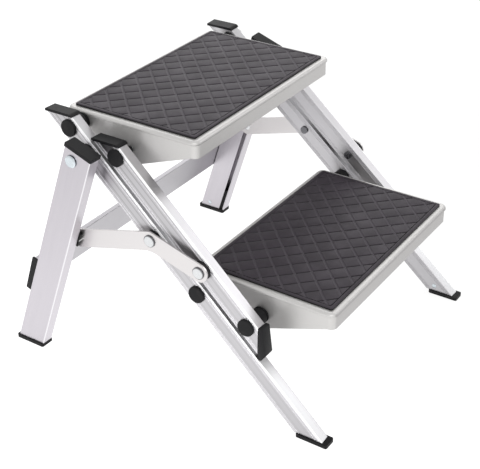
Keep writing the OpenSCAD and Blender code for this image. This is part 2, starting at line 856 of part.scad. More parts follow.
module crossmember() {
    half = cross_half();
    color(aluminium) difference() {
        at_crossmember() difference() {
            translate([-half, 0, 0]) rotate([90, 0, 90]) linear_extrude(2 * half)
                translate([cross_t / 2, 0]) rounded_rect(cross_t, cross_w, rail_edge_r);
            translate([-half - eps, 0, 0]) rotate([90, 0, 90]) linear_extrude(2 * half + 2 * eps)
                translate([cross_t / 2, 0]) square([cross_t - 2 * cross_wall, cross_w - 2 * cross_wall], center = true);
        }
        both_sides() cross_bolt_bores(cross_bolt_d + 2 * seat_gap);
    }
}

module crossmember_caps() {
    half = cross_half();
    gap = cross_wall + seat_gap;
    color(black) both_sides() at_crossmember() {
        translate([half + seat_gap, 0, 0]) rotate([90, 0, 90]) linear_extrude(cross_cap_t)
            translate([cross_t / 2 + cap_lip / 2, 0]) rounded_rect(cross_t + cap_lip, cross_w + 2 * cap_lip, 1);
        translate([half - plug_h, 0, 0]) rotate([90, 0, 90]) linear_extrude(plug_h + cross_cap_t / 2)
            translate([cross_t / 2, 0]) square([cross_t - 2 * gap, cross_w - 2 * gap], center = true);
    }
}

module crossmember_bolts() {
    color(zinc) both_sides() for (i = [-1, 1]) at_crossmember()
        translate([cross_half() - cross_bolt_in, 0, i * cross_bolt_pitch / 2]) rotate([-90, 0, 0]) {
            translate([0, 0, -leg_wall - 4]) cylinder(d = cross_bolt_d, h = leg_wall + 4 + cross_t + seat_gap + eps);
            translate([0, 0, cross_t + seat_gap]) dome(2 * cross_bolt_d, cross_bolt_d / 3);
        }
}

rail_left();
rail_right();
rail_caps();
rail_feet();
rail_foot_rivets();
tread_pivot_bolts();
tread_pivot_nuts();
tread_pivot_knobs();
tread_pivot_bushes();
leg_pivot_bolts();
leg_pivot_bushes();
stay_pivot_bolts();
stay_pivot_discs();
link_bar_left();
link_bar_right();
link_bar_caps();
link_bar_end_caps();
link_bolts();
link_nuts();
link_knobs();
link_bushes();
stay_link_bolts();
stay_link_discs();
upper_tread();
upper_mat();
lower_tread();
lower_mat();
stay_left();
stay_right();
stay_guide_discs();
stay_guide_rivets();
leg_left();
leg_right();
leg_caps();
leg_feet();
leg_foot_rivets();
crossmember();
crossmember_caps();
crossmember_bolts();
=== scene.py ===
"""Looks of a folding caravan entry step: finishes, moulded mats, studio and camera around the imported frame."""

import logging
import math
from dataclasses import dataclass, field
from enum import Enum

import bmesh
import bpy
from mathutils import Matrix, Vector


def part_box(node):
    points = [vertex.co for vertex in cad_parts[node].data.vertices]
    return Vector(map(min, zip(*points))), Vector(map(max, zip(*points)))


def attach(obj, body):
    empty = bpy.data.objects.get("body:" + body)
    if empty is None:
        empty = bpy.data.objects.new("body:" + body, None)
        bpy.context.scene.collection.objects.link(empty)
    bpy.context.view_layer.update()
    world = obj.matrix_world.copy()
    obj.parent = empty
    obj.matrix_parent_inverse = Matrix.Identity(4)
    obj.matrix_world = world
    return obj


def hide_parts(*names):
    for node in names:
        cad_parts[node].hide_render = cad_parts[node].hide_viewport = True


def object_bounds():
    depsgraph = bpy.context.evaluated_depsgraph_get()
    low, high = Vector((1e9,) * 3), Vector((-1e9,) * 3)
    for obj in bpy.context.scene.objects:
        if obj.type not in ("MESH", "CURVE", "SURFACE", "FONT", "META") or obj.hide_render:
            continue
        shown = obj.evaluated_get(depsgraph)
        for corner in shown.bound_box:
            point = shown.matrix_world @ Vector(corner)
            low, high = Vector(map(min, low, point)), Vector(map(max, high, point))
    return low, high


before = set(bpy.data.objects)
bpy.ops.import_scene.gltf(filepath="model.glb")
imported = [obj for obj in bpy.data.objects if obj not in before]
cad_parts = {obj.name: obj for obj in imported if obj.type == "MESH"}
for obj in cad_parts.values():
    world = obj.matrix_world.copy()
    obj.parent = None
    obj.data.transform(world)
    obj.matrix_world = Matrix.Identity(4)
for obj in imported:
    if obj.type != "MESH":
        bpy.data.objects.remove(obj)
CAD_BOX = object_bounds()

LOG = logging.getLogger("entry_step")
MM = 0.001
SAME_POINT = 1e-7  # metres: points that are nearer than this are one
SLIVER = 1e-6  # metres: edges that are shorter than this are dissolved
RIGHTWARD = Vector((1.0, 0.0, 0.0))
REARWARD = Vector((0.0, 1.0, 0.0))
UPWARD = Vector((0.0, 0.0, 1.0))

# Sizes of the part's source that the pieces here are built on, and the treads' pivots as (y, z).
TOP_Z = 400.0 * MM  # height of the upper mat
HALF_WIDTH = 213.0 * MM  # from the middle plane to the rails' outer faces, at that height
LEAN = math.tan(math.radians(2.2))  # how far the side frames spread for each metre down
BAR_THICKNESS = 18.0 * MM  # of the rails and link bars, across the step
SEAT_GAP = 0.05 * MM  # between faces that are bolted together
STAY_INSIDE = 226.56 * MM  # plane beside the stays' inner faces
STAY_OUTSIDE = 229.41 * MM  # plane beside their outer faces
BORE_RADIUS = 4.1 * MM
BUSH_RADIUS = 13.0 * MM
UPPER_REAR = (167.133 * MM, 382.0 * MM)
UPPER_FRONT = (82.8 * MM, 356.859 * MM)
LOWER_REAR = (-55.961 * MM, 179.0 * MM)
LOWER_FRONT = (-140.294 * MM, 153.859 * MM)

Colour = tuple[float, float, float]


class Side(Enum):
    """The slopes that the profiles of the side frames run along, as angles above the ground."""

    RAIL = math.radians(42.3)
    LEG = math.radians(180.0 - 70.6)

    def along(self) -> Vector:
        """Returns the unit vector along a profile of this slope."""
        return Vector((0.0, math.cos(self.value), math.sin(self.value)))

    def across(self) -> Vector:
        """Returns the unit vector across a profile of this slope, in the side view."""
        return Vector((0.0, -math.sin(self.value), math.cos(self.value)))


class Socket:
    """A node's output socket that takes part in ordinary arithmetic."""

    def __init__(self, graph: "Graph", socket: bpy.types.NodeSocket) -> None:
        """Keeps the socket and the graph that it belongs to."""
        self.graph = graph
        self.socket = socket

    def _math(self, operation: str, first: "Value", second: "Value") -> "Socket":
        """Returns the result of one Math node."""
        return self.graph.node("ShaderNodeMath", {"operation": operation}, {0: first, 1: second})

    def __add__(self, other: "Value") -> "Socket":
        """Returns self + other."""
        return self._math("ADD", self, other)

    def __radd__(self, other: "Value") -> "Socket":
        """Returns other + self."""
        return self._math("ADD", other, self)

    def __sub__(self, other: "Value") -> "Socket":
        """Returns self - other."""
        return self._math("SUBTRACT", self, other)

    def __rsub__(self, other: "Value") -> "Socket":
        """Returns other - self."""
        return self._math("SUBTRACT", other, self)

    def __mul__(self, other: "Value") -> "Socket":
        """Returns self * other."""
        return self._math("MULTIPLY", self, other)

    def __rmul__(self, other: "Value") -> "Socket":
        """Returns other * self."""
        return self._math("MULTIPLY", other, self)

    def __abs__(self) -> "Socket":
        """Returns the size of self without its sign."""
        return self._math("ABSOLUTE", self, 0.0)


Value = float | Socket


class Graph:
    """The node tree of one material, with short ways to add to it."""

    def __init__(self, name: str) -> None:
        """Starts a material with a Principled shader.

        Args:
            name: The material's name.
        """
        self.material = bpy.data.materials.new(name)
        self.material.use_nodes = True
        self.tree = self.material.node_tree
        self.shader = self.tree.nodes["Principled BSDF"]

    def node(self, kind: str, settings: dict, inputs: dict, output: int | str = 0) -> Socket:
        """Adds one node.

        Args:
            kind: The node's type.
            settings: Properties of the node, which are set first.
            inputs: Values or links of its sockets, by name or number.
            output: The output to return.

        Returns:
            The chosen output.
        """
        made = self.tree.nodes.new(kind)
        for key, value in settings.items():
            setattr(made, key, value)
        for key, value in inputs.items():
            self.feed(made.inputs[key], value)
        return Socket(self, made.outputs[output])

    def feed(self, target: bpy.types.NodeSocket, value: object) -> None:
        """Links a Socket to the target, or sets the target's own value.

        Args:
            target: The input socket.
            value: A Socket, a number, a vector or a colour of three parts.
        """
        if isinstance(value, Socket):
            self.tree.links.new(value.socket, target)
        elif isinstance(value, tuple) and len(value) == 3 and target.type == "RGBA":
            target.default_value = (*value, 1.0)
        else:
            target.default_value = value

    def place(self) -> Socket:
        """Returns the point on the piece, in metres, in the piece's own frame."""
        return self.node("ShaderNodeTexCoord", {}, {}, "Object")

    def dot(self, point: Socket, axis: Vector) -> Socket:
        """Returns how far the point lies along an axis."""
        return self.node(
            "ShaderNodeVectorMath", {"operation": "DOT_PRODUCT"}, {0: point, 1: tuple(axis)}, "Value")

    def line(self, value: Socket, at: float, half_width: float) -> Socket:
        """Returns 1 where the value is at one size, falling smoothly to 0 at half a width from it."""
        return 1.0 - self.mask(abs(value - at), 0.0, half_width)

    def vector(self, x: Value, y: Value, z: Value) -> Socket:
        """Returns a vector made of three values."""
        return self.node("ShaderNodeCombineXYZ", {}, {0: x, 1: y, 2: z})

    def noise(self, point: Socket, scale: float, detail: float = 2.0, roughness: float = 0.5) -> Socket:
        """Returns smooth noise from 0 to 1."""
        return self.node(
            "ShaderNodeTexNoise", {},
            {"Vector": point, "Scale": scale, "Detail": detail, "Roughness": roughness})

    def mask(self, value: Socket, low: float, high: float) -> Socket:
        """Returns 0 where the value is below low, 1 where it is above high, and smooth steps between."""
        return self.node(
            "ShaderNodeMapRange", {"interpolation_type": "SMOOTHSTEP"},
            {"Value": value, "From Min": low, "From Max": high})

    def blend(self, factor: Socket, first: "Colour | Socket", second: "Colour | Socket") -> Socket:
        """Returns a colour between the first, at factor 0, and the second, at 1."""
        return self.node("ShaderNodeMix", {"data_type": "RGBA"}, {0: factor, 6: first, 7: second}, 2)

    def bump(self, height: Socket, strength: float, distance: float, edge: float) -> Socket:
        """Returns a normal with raised detail, on edges that are rounded by a radius in metres."""
        rounded = self.node("ShaderNodeBevel", {"samples": 4}, {"Radius": edge})
        return self.node(
            "ShaderNodeBump", {},
            {"Strength": strength, "Distance": distance, "Height": height, "Normal": rounded})

    def surface(self, **inputs: object) -> None:
        """Feeds the shader's sockets, where a name's underscores stand for spaces."""
        for key, value in inputs.items():
            self.feed(self.shader.inputs[key.replace("_", " ")], value)


class SkyGraph(Graph):
    """The node tree of the studio's sky."""

    def __init__(self, name: str) -> None:
        """Starts a world and puts it round the scene.

        Args:
            name: The world's name.
        """
        world = bpy.data.worlds.new(name)
        world.use_nodes = True
        bpy.context.scene.world = world
        self.tree = world.node_tree
        self.shader = self.tree.nodes["Background"]


@dataclass(frozen=True)
class ExtrudedMetal:
    """Anodised aluminium profile, with fine drawing lines along its length, and painted light and shade by
    place: a painted highlight along its front edge, painted light on its flanks, painted shade in its grooves
    and a painted tone on one narrow face.

    Attributes:
        name: The material's name.
        slope: The slope that it runs along.
        middle: Where its middle lies, across the slope.
        half_width: Half its width.
        face_gap: How far its outer face stands outside the rails'.
        grooved: Whether its outer face has painted light on its flanks and painted shade in its groove lines.
        colour: Its main tone.
        shade: The tone of its darker bands.
        painted_edge_highlight: The tone of the painted highlight along its front edge.
        flank_painted_light: The paler tone painted on its flanks as painted light.
        groove_painted_shade: The tone of the painted shade in its groove lines.
        slot_side: 1 for its narrow front face, -1 for the rear one.
        slot_painted_tone: The tone painted on that narrow face: painted shade on the rails, a painted highlight
            on the link bars, the legs' own tone on the legs.
        painted_highlight_share: How much of its tone that painted highlight takes.
        painted_highlight_width: The width of that painted highlight.
        painted_highlight_blur: How far that painted highlight fades.
        face_depth: Depths behind the outer face where the painted light and shade of that face fade.
        flank_start: Distances from the middle where the flanks' painted light starts and is full.
        groove_lines: Distance from the middle and half width of each line of painted groove shade.
        groove_heights: Heights where the painted groove shade is weakest and strongest.
        groove_least: Their strength where they are weakest.
        groove_gain: What the height adds to it.
        slot_depth: Depths below the narrow face where its painted tone starts and is full.
        mottle: How much shade the lines and the bands bring.
        roughness: Its least roughness.
        line_scale: How fine the drawing lines are.
        band_scale: How fine the bands are.
        cloud_scale: How fine the cloudiness of its gloss is.
    """

    name: str
    slope: Side
    middle: float
    half_width: float
    face_gap: float = 0.0
    grooved: bool = True
    colour: Colour = (0.53, 0.52, 0.535)
    shade: Colour = (0.42, 0.415, 0.43)
    painted_edge_highlight: Colour = (0.95, 0.95, 0.96)
    flank_painted_light: Colour = (0.70, 0.69, 0.71)
    groove_painted_shade: Colour = (0.20, 0.20, 0.20)
    slot_side: float = 1.0
    slot_painted_tone: Colour = (0.66, 0.66, 0.67)
    painted_highlight_share: float = 1.0
    painted_highlight_width: float = 3.6 * MM
    painted_highlight_blur: float = 1.4 * MM
    face_depth: tuple[float, float] = (0.8 * MM, 2.4 * MM)
    flank_start: tuple[float, float] = (8.0 * MM, 9.0 * MM)
    groove_lines: tuple[tuple[float, float], ...] = ((4.8 * MM, 1.6 * MM), (11.3 * MM, 1.5 * MM))
    groove_heights: tuple[float, float] = (100.0 * MM, 360.0 * MM)
    groove_least: float = 0.12
    groove_gain: float = 0.45
    slot_depth: tuple[float, float] = (0.6 * MM, 0.2 * MM)
    mottle: float = 0.35
    roughness: float = 0.24
    line_scale: float = 700.0
    band_scale: float = 90.0
    cloud_scale: float = 14.0

    def material(self) -> bpy.types.Material:
        """Makes the material.

        Returns:
            The finished material.
        """
        graph = Graph(self.name)
        point = graph.place()
        along = graph.dot(point, self.slope.along())
        across = graph.dot(point, self.slope.across())
        outward = graph.dot(point, RIGHTWARD)
        lines = graph.noise(
            graph.vector(along * 5.0, across * self.line_scale, outward * self.line_scale), 1.0, 3.0, 0.6)
        bands = graph.noise(
            graph.vector(along * 2.0, across * self.band_scale, outward * self.band_scale), 1.0)
        cloud = graph.noise(point, self.cloud_scale, 3.0)
        from_middle = across - self.middle
        height = graph.dot(point, UPWARD)
        depth = (TOP_Z - height) * LEAN + (HALF_WIDTH + self.face_gap) - abs(outward)
        on_face = 1.0 - graph.mask(depth, *self.face_depth)
        tone = graph.blend(lines * self.mottle + bands * self.mottle, self.colour, self.shade)
        if self.grooved:
            # Painted light: the flanks of the outer face are painted paler.
            flank = graph.mask(abs(from_middle), *self.flank_start)
            tone = graph.blend(flank * on_face, tone, self.flank_painted_light)
            # Painted shade in the grooves: dark lines, stronger higher up.
            strength = graph.mask(height, *self.groove_heights) * self.groove_gain + self.groove_least
            inner, outer = (graph.line(abs(from_middle), *line) for line in self.groove_lines)
            tone = graph.blend((inner + outer) * strength * on_face, tone, self.groove_painted_shade)
        # Painted tone on one narrow face: painted shade on the rails' front faces, a painted highlight on the
        # link bars' rear faces.
        start, full = (self.half_width - step for step in self.slot_depth)
        tone = graph.blend(graph.mask(from_middle * self.slot_side, start, full), tone, self.slot_painted_tone)
        # Painted highlight: a bright strip along the front edge of the outer face.
        painted_highlight_start = self.half_width - self.painted_highlight_width
        painted_highlight_mask = graph.mask(from_middle, painted_highlight_start, painted_highlight_start + self.painted_highlight_blur)
        tone = graph.blend(painted_highlight_mask * on_face * self.painted_highlight_share, tone, self.painted_edge_highlight)
        graph.surface(
            Base_Color=tone,
            Metallic=1.0,
            Roughness=self.roughness + lines * 0.12 + cloud * 0.08,
            Normal=graph.bump(lines, 0.10, 0.2 * MM, 0.5 * MM),
        )
        return graph.material


@dataclass(frozen=True)
class SatinSheet:
    """Satin sheet or plate with a soft grain across the step, and optional painted shade on its front flange.

    Attributes:
        name: The material's name.
        colour: Its main tone.
        shade: The tone of its darker grain.
        roughness: Its least roughness.
        metallic: How much it shines as bare metal does.
        front_y: Where the front of the piece lies.
        front_painted_shade_share: How much painted shade its front flange takes.
        front_painted_shade: The tone of the painted shade on its front flange.
        flange_depth: Depths behind the front where that tone starts and stops fading.
    """

    name: str
    colour: Colour = (0.56, 0.55, 0.54)
    shade: Colour = (0.46, 0.45, 0.44)
    roughness: float = 0.28
    metallic: float = 1.0
    front_y: float = -1.0
    front_painted_shade_share: float = 0.0
    front_painted_shade: Colour = (0.36, 0.35, 0.35)
    flange_depth: tuple[float, float] = (1.0 * MM, 3.5 * MM)

    def material(self) -> bpy.types.Material:
        """Makes the material.

        Returns:
            The finished material.
        """
        graph = Graph(self.name)
        point = graph.place()
        x, y, z = (graph.dot(point, axis) for axis in (RIGHTWARD, REARWARD, UPWARD))
        grain = graph.noise(graph.vector(x * 60.0, y * 900.0, z * 900.0), 1.0, 3.0, 0.65)
        cloud = graph.noise(point, 9.0, 2.0)
        start, end = (self.front_y + step for step in self.flange_depth)
        # Painted shade on the front flange, fading out behind the front.
        front = (1.0 - graph.mask(y, start, end)) * self.front_painted_shade_share
        tone = graph.blend(grain * 0.4 + cloud * 0.25, self.colour, self.shade)
        graph.surface(
            Base_Color=graph.blend(front, tone, self.front_painted_shade),
            Metallic=self.metallic,
            Roughness=self.roughness + grain * 0.10 + cloud * 0.06,
            Normal=graph.bump(grain, 0.08, 0.2 * MM, 0.6 * MM),
        )
        return graph.material


@dataclass(frozen=True)
class PlatedMetal:
    """Zinc plated or plain turned metal with a faint mottle, and optional painted shade on the sides of bolt
    heads.

    Attributes:
        name: The material's name.
        colour: Its main tone.
        shade: The tone of its mottle.
        rim: The tone of the painted shade on a bolt head's side.
        face_x: Distance of the heads' faces from the middle plane, or 0 for no painted shade.
        side_depth: Depths behind the faces where the sides' painted shade is full and ends.
        roughness: Its least roughness.
    """

    name: str
    colour: Colour = (0.70, 0.75, 0.78)
    shade: Colour = (0.50, 0.56, 0.60)
    rim: Colour = (0.16, 0.16, 0.17)
    face_x: float = 0.0
    side_depth: tuple[float, float] = (0.9 * MM, 0.1 * MM)
    roughness: float = 0.20

    def material(self) -> bpy.types.Material:
        """Makes the material.

        Returns:
            The finished material.
        """
        graph = Graph(self.name)
        point = graph.place()
        mottle = graph.noise(point, 350.0, 3.0)
        speck = graph.noise(point, 1800.0, 2.0)
        tone = graph.blend(mottle * 0.8, self.colour, self.shade)
        # Painted shade: all of the bolts that lies more than a little inside their outer faces, heads' sides and
        # inner heads too, takes the dark rim tone.
        if self.face_x > 0.0:
            outward = abs(graph.dot(point, RIGHTWARD))
            start, full = (self.face_x - step for step in self.side_depth)
            tone = graph.blend(graph.mask(outward, start, full), self.rim, tone)
        graph.surface(
            Base_Color=tone,
            Metallic=1.0,
            Roughness=self.roughness + mottle * 0.15,
            Normal=graph.bump(speck, 0.10, 0.1 * MM, 0.4 * MM),
        )
        return graph.material


@dataclass(frozen=True)
class MouldedPlastic:
    """Black moulded plastic with a fine spark-eroded grain and slightly paler scuffs.

    Attributes:
        name: The material's name.
        colour: Its main tone.
        scuff: The tone of its scuffs.
        roughness: Its least roughness.
        grain: How fine its grain is.
        scuff_scale: How fine the pattern of its scuffs is.
        sheen: How strongly it mirrors the light.
    """

    name: str
    colour: Colour = (0.010, 0.010, 0.011)
    scuff: Colour = (0.024, 0.022, 0.022)
    roughness: float = 0.42
    grain: float = 1500.0
    scuff_scale: float = 60.0
    sheen: float = 0.14

    def material(self) -> bpy.types.Material:
        """Makes the material.

        Returns:
            The finished material.
        """
        graph = Graph(self.name)
        point = graph.place()
        grain = graph.noise(point, self.grain, 2.0, 0.6)
        wear = graph.mask(graph.noise(point, self.scuff_scale, 4.0, 0.6), 0.50, 0.75)
        graph.surface(
            Base_Color=graph.blend(wear * 0.8, self.colour, self.scuff),
            Roughness=self.roughness + grain * 0.10 + wear * 0.08,
            Specular_IOR_Level=self.sheen,
            Normal=graph.bump(grain, 0.25, 0.15 * MM, 0.6 * MM),
        )
        return graph.material


@dataclass(frozen=True)
class TreadRubber:
    """Moulded rubber with painted shade in its deep channels, painted light on its shallow channels, and paler
    rubbed patches on its block tops.

    Attributes:
        name: The material's name.
        top: The height of the block tops.
        channel_depth: How far the channels lie below them.
        colour: The tone of the tops.
        rubbed: Their tone where they are rubbed.
        ribbon: The painted light on the shallow channels, paler than the tops.
        channel: The painted shade in the deep channels.
        channel_band: Shares of the depth where the deep channels' painted shade fades out.
        ribbon_band: Shares of the depth where the shallow channels' painted light fades out.
        sheen: How strongly it mirrors the light.
    """

    name: str
    top: float
    channel_depth: float
    colour: Colour = (0.027, 0.0215, 0.028)
    rubbed: Colour = (0.040, 0.032, 0.042)
    ribbon: Colour = (0.043, 0.036, 0.045)
    channel: Colour = (0.004, 0.004, 0.004)
    channel_band: tuple[float, float] = (0.80, 0.55)
    ribbon_band: tuple[float, float] = (0.42, 0.15)
    sheen: float = 0.25

    def material(self) -> bpy.types.Material:
        """Makes the material.

        Returns:
            The finished material.
        """
        graph = Graph(self.name)
        point = graph.place()
        height = graph.dot(point, UPWARD)
        above_channel, above_ribbon = (
            graph.mask(height, self.top - self.channel_depth * low, self.top - self.channel_depth * high)
            for low, high in (self.channel_band, self.ribbon_band))
        cloud = graph.mask(graph.noise(point, 28.0, 4.0, 0.6), 0.35, 0.70)
        grain = graph.noise(point, 1300.0, 3.0, 0.7)
        tops = graph.blend(cloud * 0.7, self.colour, self.rubbed)
        # Painted shade in the deep channels and painted light on the shallow ones.
        channels = graph.blend(above_channel, self.channel, self.ribbon)
        graph.surface(
            Base_Color=graph.blend(above_ribbon, channels, tops),
            Roughness=0.48 + grain * 0.14 - cloud * 0.05,
            Specular_IOR_Level=self.sheen,
            Normal=graph.bump(grain, 0.35, 0.2 * MM, 0.2 * MM),
        )
        return graph.material


Finish = ExtrudedMetal | SatinSheet | PlatedMetal | MouldedPlastic
Rings = list[list[bmesh.types.BMVert]]


def join_rings(mesh: bmesh.types.BMesh, rings: Rings, closed: bool) -> None:
    """Adds the faces between each ring of points and the next.

    Args:
        mesh: The mesh that takes the faces.
        rings: The rings, with as many points each.
        closed: Whether the last ring joins the first one.
    """
    for ring, beyond in zip(rings, rings[1:] + (rings[:1] if closed else [])):
        for k in range(len(ring)):
            n = (k + 1) % len(ring)
            mesh.faces.new((ring[k], ring[n], beyond[n], beyond[k]))


def place_piece(
        mesh: bmesh.types.BMesh, name: str, finish: MouldedPlastic | TreadRubber, node: str,
        body: str, sharp_from: float) -> bpy.types.Object:
    """Makes a piece from its mesh and puts it in place of a CAD node.

    Args:
        mesh: The piece's mesh, which is freed.
        name: The piece's name.
        finish: What it is moulded in.
        node: The node that it stands for.
        body: The body that it rides on.
        sharp_from: The angle in degrees from which its edges look sharp.

    Returns:
        The new piece.
    """
    data = bpy.data.meshes.new(name)
    mesh.to_mesh(data)
    mesh.free()
    data.shade_smooth()
    data.set_sharp_from_angle(angle=math.radians(sharp_from))
    piece = bpy.data.objects.new(name, data)
    bpy.context.collection.objects.link(piece)
    data.materials.append(finish.material())
    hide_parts(node)
    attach(piece, body)
    LOG.info("%s on %s, %d faces", name, body, len(data.polygons))
    return piece


@dataclass
class RubberMat:
    """A moulded tread mat: rounded blocks between diagonal channels, in a plain raised border.

    Attributes:
        node: Its CAD node.
        body: The body that it rides on.
        pitch: Distance between channels of one kind.
        channel_width: Width of the deep channels' floors.
        ribbon_width: Width of the shallow channels' floors.
        ribbon_height: How high those stand, as a share of the depth.
        depth: Depth of the deep channels.
        border: Width of the raised border.
        border_groove: Width of the groove inside it.
        corner_radius: Radius of the mat's corners.
        least_radius: The least radius that an inner outline keeps.
        shoulder: How the blocks' edges rise: distance in millimetres and share of the height.
        outer_edge: The border's outer edge: inset and drop in millimetres.
        inner_edge: Its inner edge in the same way.
        floor_drop: How far the border's floor lies below the channels.
        corner_steps: Steps in each corner.
        half: Half the mat's width and depth, taken from the CAD node.
    """

    node: str
    body: str
    pitch: float = 25.0 * MM
    channel_width: float = 1.5 * MM
    ribbon_width: float = 3.4 * MM
    ribbon_height: float = 0.55
    depth: float = 1.1 * MM
    border: float = 5.6 * MM
    border_groove: float = 0.9 * MM
    corner_radius: float = 3.5 * MM
    least_radius: float = 0.8 * MM
    shoulder: tuple[tuple[float, float], ...] = ((0.0, 0.0), (0.25, 0.62), (0.6, 0.9), (1.2, 1.0))
    outer_edge: tuple[tuple[float, float], ...] = ((0.0, 0.8), (0.2, 0.3), (0.7, 0.0))
    inner_edge: tuple[tuple[float, float], ...] = ((0.7, 0.0), (0.2, 0.2), (0.0, 0.6))
    floor_drop: float = 0.02 * MM
    corner_steps: int = 6
    half: tuple[float, float] = field(init=False, default=(0.0, 0.0))

    def outline(self, inset: float) -> list[tuple[float, float]]:
        """Works out the mat's rounded outline about its middle.

        Args:
            inset: How far the outline is drawn in.

        Returns:
            The outline's points.
        """
        half_w, half_d = self.half
        radius = max(self.corner_radius - inset, self.least_radius)
        points = []
        for quarter, (sx, sy) in enumerate(((1, 1), (-1, 1), (-1, -1), (1, -1))):
            cx, cy = sx * (half_w - inset - radius), sy * (half_d - inset - radius)
            for step in range(self.corner_steps + 1):
                turn = math.pi / 2 * (quarter + step / self.corner_steps)
                points.append((cx + radius * math.cos(turn), cy + radius * math.sin(turn)))
        return points

    def lattice_lines(self, reach: float, width: float) -> list[tuple[float, float]]:
        """Works out the grid lines across one diagonal.

        Args:
            reach: How far from the middle the lines go.
            width: The width of the channels' floors.

        Returns:
            The place and the height share of each line.
        """
        half_channel = width / 2
        lines = []
        for count in range(-int(reach / self.pitch) - 1, int(reach / self.pitch) + 2):
            for step, share in reversed(self.shoulder):
                lines.append((count * self.pitch - half_channel - step * MM, share))
            for step, share in self.shoulder:
                lines.append((count * self.pitch + half_channel + step * MM, share))
        return lines

    def share(self, channel: float, ribbon: float) -> float:
        """Returns the height share of a point, where shallow ribbons run unbroken across the deep channels."""
        return self.ribbon_height * (1.0 - ribbon) + channel * ribbon

    def add_blocks(self, mesh: bmesh.types.BMesh, top: float) -> None:
        """Adds the skin of the blocks and channels, trimmed to the border's groove.

        Args:
            mesh: The mat's mesh.
            top: The height of the block tops.
        """
        half_w, half_d = self.half
        reach = (half_w + half_d) / math.sqrt(2)
        channels = self.lattice_lines(reach, self.channel_width)
        ribbons = self.lattice_lines(reach, self.ribbon_width)
        turn = math.sqrt(0.5)
        skin = bmesh.new()
        grid = [[skin.verts.new(((s - t) * turn, (s + t) * turn, top - self.depth * (1.0 - self.share(hs, ht))))
                 for t, ht in ribbons] for s, hs in channels]
        for i in range(len(channels) - 1):
            for j in range(len(ribbons) - 1):
                skin.faces.new((grid[i][j], grid[i + 1][j], grid[i + 1][j + 1], grid[i][j + 1]))
        edge = self.outline(self.border + self.border_groove)
        for (x0, y0), (x1, y1) in zip(edge, edge[1:] + edge[:1]):
            normal = Vector((y1 - y0, x0 - x1, 0.0))
            if normal.length > SAME_POINT:
                bmesh.ops.bisect_plane(
                    skin, geom=skin.verts[:] + skin.edges[:] + skin.faces[:], dist=SAME_POINT,
                    plane_co=(x0, y0, 0.0), plane_no=normal, clear_outer=True)
        floor = top - self.depth
        raised = floor + self.floor_drop / 2
        rim = [e for e in skin.edges if e.is_boundary and max(v.co.z for v in e.verts) > raised]
        walls = bmesh.ops.extrude_edge_only(skin, edges=rim)["geom"]
        for vert in (g for g in walls if isinstance(g, bmesh.types.BMVert)):
            vert.co.z = floor
        bmesh.ops.dissolve_degenerate(skin, dist=SLIVER, edges=skin.edges[:])
        spare = bpy.data.meshes.new("skin")
        skin.to_mesh(spare)
        mesh.from_mesh(spare)
        skin.free()
        bpy.data.meshes.remove(spare)

    def add_border(self, mesh: bmesh.types.BMesh, base: float, top: float) -> None:
        """Adds the raised border as a swept section, and the floor and underside inside it.

        Args:
            mesh: The mat's mesh.
            base: The height of its underside.
            top: The height of the border.
        """
        outer = [(inset * MM, top - drop * MM) for inset, drop in self.outer_edge]
        inner = [(self.border - inset * MM, top - drop * MM) for inset, drop in self.inner_edge]
        section = [(0.0, base), *outer, *inner, (self.border, top - self.depth - self.floor_drop)]
        rings = [[mesh.verts.new((x, y, z)) for x, y in self.outline(inset)] for inset, z in section]
        join_rings(mesh, rings, closed=False)
        mesh.faces.new(rings[-1])
        mesh.faces.new(list(reversed(rings[0])))

    def build(self) -> bpy.types.Object:
        """Builds the mat over its CAD solid and dresses it.

        Returns:
            The new piece.
        """
        low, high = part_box(self.node)
        self.half = ((high.x - low.x) / 2, (high.y - low.y) / 2)
        mesh = bmesh.new()
        self.add_blocks(mesh, high.z)
        self.add_border(mesh, low.z, high.z)
        middle = ((low.x + high.x) / 2, (low.y + high.y) / 2, 0.0)
        bmesh.ops.translate(mesh, verts=mesh.verts[:], vec=middle)
        rubber = TreadRubber(f"{self.node}_rubber", high.z, self.depth)
        return place_piece(mesh, f"{self.node}_moulded", rubber, self.node, self.body, 50.0)


@dataclass
class Dressing:
    """Gives groups of CAD nodes their finishes."""

    finishes: dict[str, bpy.types.Material] = field(default_factory=dict)

    def dress(self, finish: Finish, *nodes: str) -> None:
        """Puts one finish on several nodes.

        Args:
            finish: The finish.
            nodes: The CAD nodes that take it.
        """
        if finish.name not in self.finishes:
            self.finishes[finish.name] = finish.material()
        for name in nodes:
            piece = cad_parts[name]
            piece.data.materials.clear()
            piece.data.materials.append(self.finishes[finish.name])
        LOG.info("%s on %s", finish.name, ", ".join(nodes))


